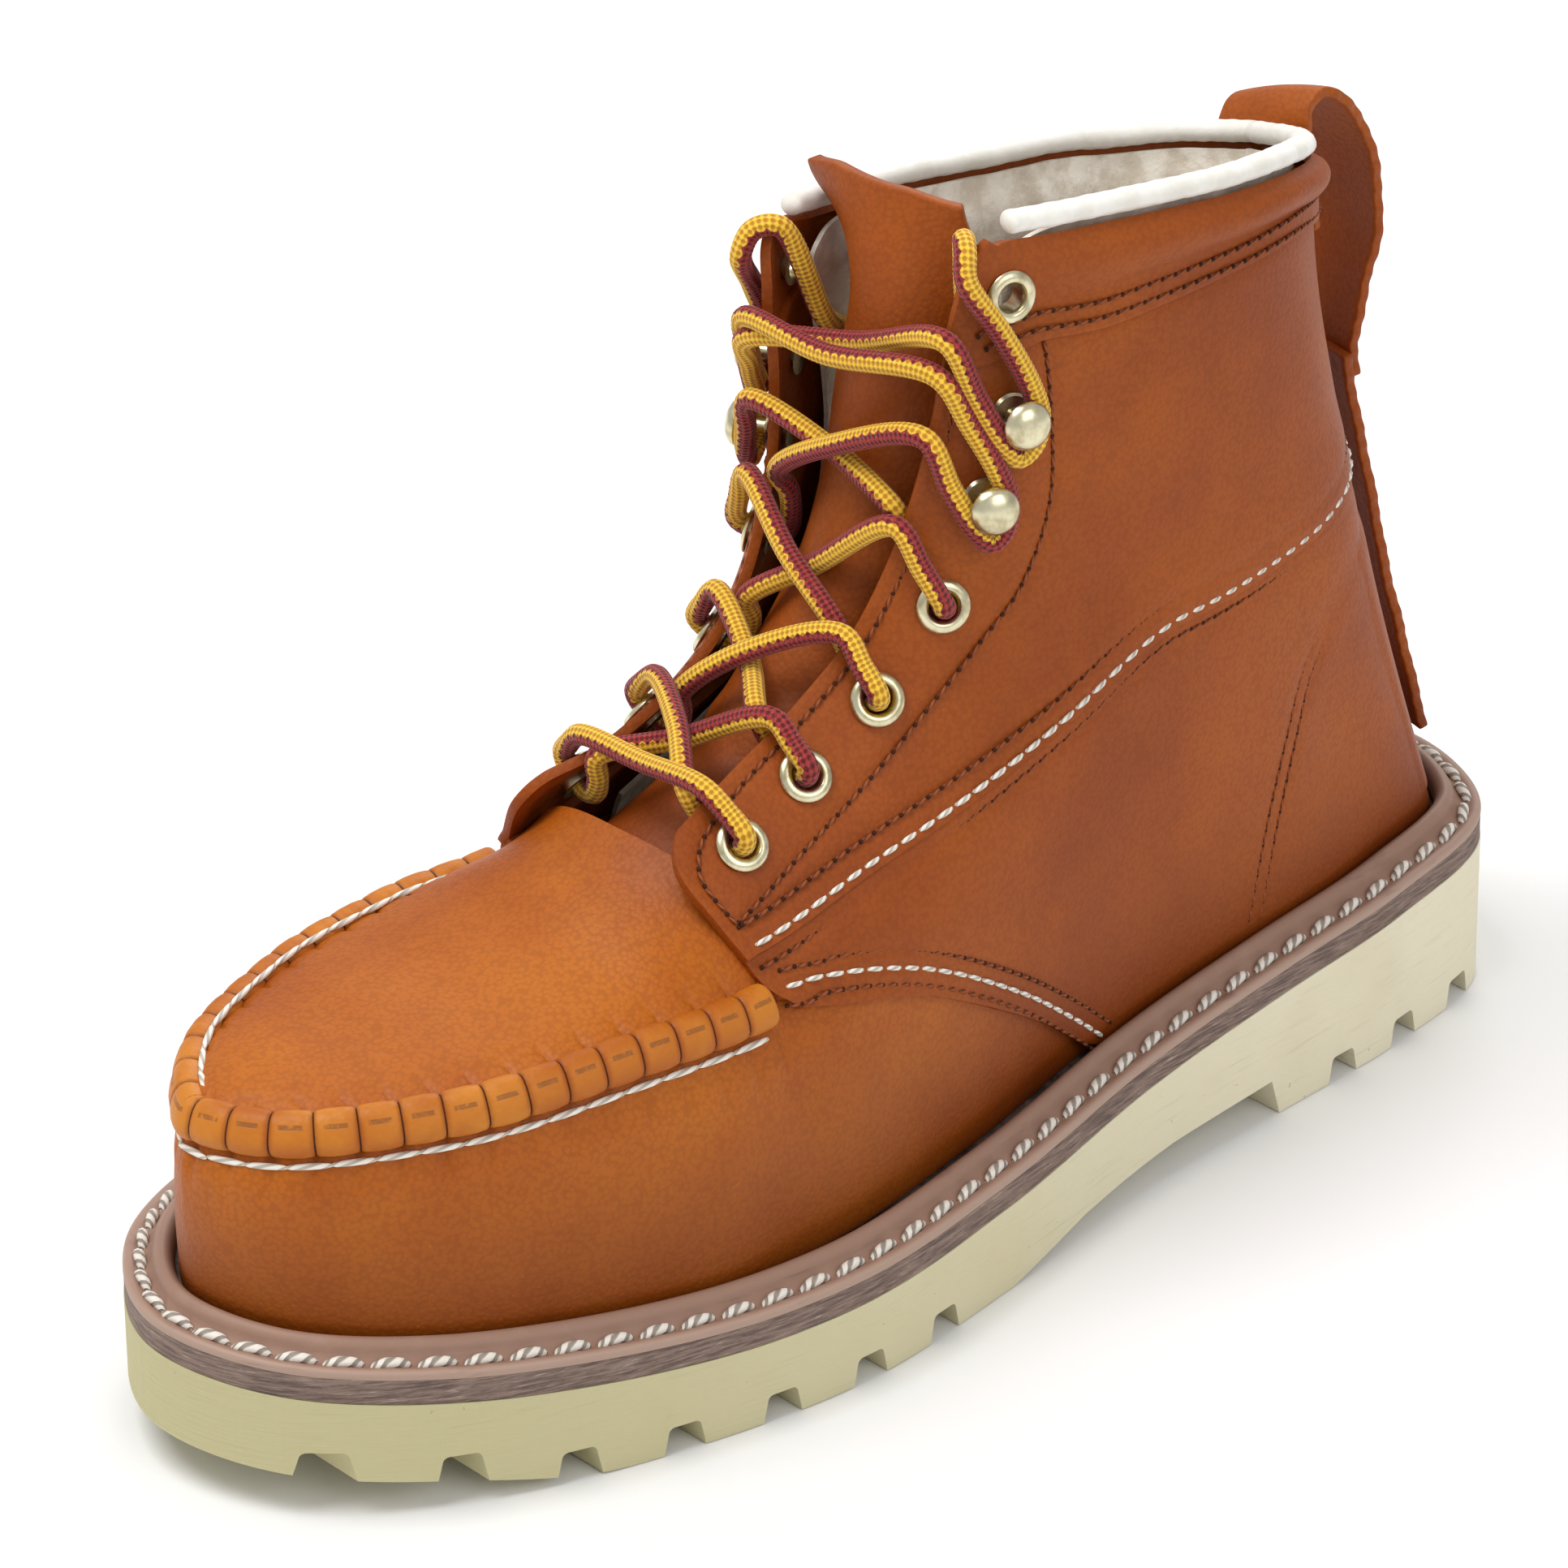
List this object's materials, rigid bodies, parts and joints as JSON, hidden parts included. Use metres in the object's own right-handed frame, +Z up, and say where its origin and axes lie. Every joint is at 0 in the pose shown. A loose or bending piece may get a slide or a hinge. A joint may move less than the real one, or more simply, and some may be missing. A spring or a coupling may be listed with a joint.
{
  "type": "steel toe work boot",
  "caption": "Left lace-up ankle work boot with a gathered moc toe over a steel cap, welted wedge sole with lugs, metal eyelets and hooks, and a heel pull loop.",
  "frame": {"origin": "on the ground under the centre of the footprint", "axes": "+Y from the toe to the heel, +X to the outer side of the left foot, +Z up"},
  "size_m": [0.1133, 0.3055, 0.1946],
  "materials": {
    "tan_leather": "oiled, fine grain",
    "tan_leather_dark": "oiled, fine grain",
    "suede": "rough flesh side",
    "cream_rubber": "matt",
    "brown_midsole": "brushed",
    "welt_brown": "satin",
    "cork": "raw",
    "board": "raw",
    "footbed_cloth": "woven",
    "lining_cloth": "soft",
    "piping": "smooth",
    "steel": "brushed",
    "hardware": "pale polished",
    "lace_cord": "round braid",
    "lace_tip": "clear"
  },
  "bodies": {
    "boot": {"outsole": "cream_rubber", "midsole": "brown_midsole", "storm_welt": "welt_brown", "cork_filler": "cork", "shank_plate": "steel", "heel_filler": "cork", "insole_board": "board", "steel_toe_cap": "steel", "vamp_wall": "tan_leather", "vamp_plug": "tan_leather", "vamp_lining": "lining_cloth", "moc_bead": "tan_leather_dark", "outer_upper_quarter": "tan_leather", "outer_lower_quarter": "tan_leather_dark", "outer_eyelet_1": "hardware", "outer_eyelet_2": "hardware", "outer_eyelet_3": "hardware", "outer_eyelet_4": "hardware", "outer_eyelet_5": "hardware", "outer_hook_1": "hardware", "outer_hook_2": "hardware", "inner_upper_quarter": "tan_leather", "inner_lower_quarter": "tan_leather_dark", "inner_eyelet_1": "hardware", "inner_eyelet_2": "hardware", "inner_eyelet_3": "hardware", "inner_eyelet_4": "hardware", "inner_eyelet_5": "hardware", "inner_hook_1": "hardware", "inner_hook_2": "hardware", "collar_band": "tan_leather", "collar_piping": "piping", "heel_foxing": "tan_leather_dark", "heel_counter": "board", "quarter_lining": "lining_cloth", "backstay": "tan_leather", "pull_loop": "suede", "lace": "lace_cord", "aglet_outer": "lace_tip", "aglet_inner": "lace_tip"},
    "tongue": {"tongue": "tan_leather"},
    "footbed": {"footbed": "footbed_cloth"}
  },
  "joints": [
    {"name": "tongue_swing", "type": "hinge", "parent": "boot", "child": "tongue", "pos_m": [0.001, -0.0585, 0.079], "axis": [-1, 0, 0], "range_deg": [0, 4]},
    {"name": "footbed_lift", "type": "slide", "parent": "boot", "child": "footbed", "axis": [0, 0, 1], "range_m": [0, 0.004]}
  ]
}
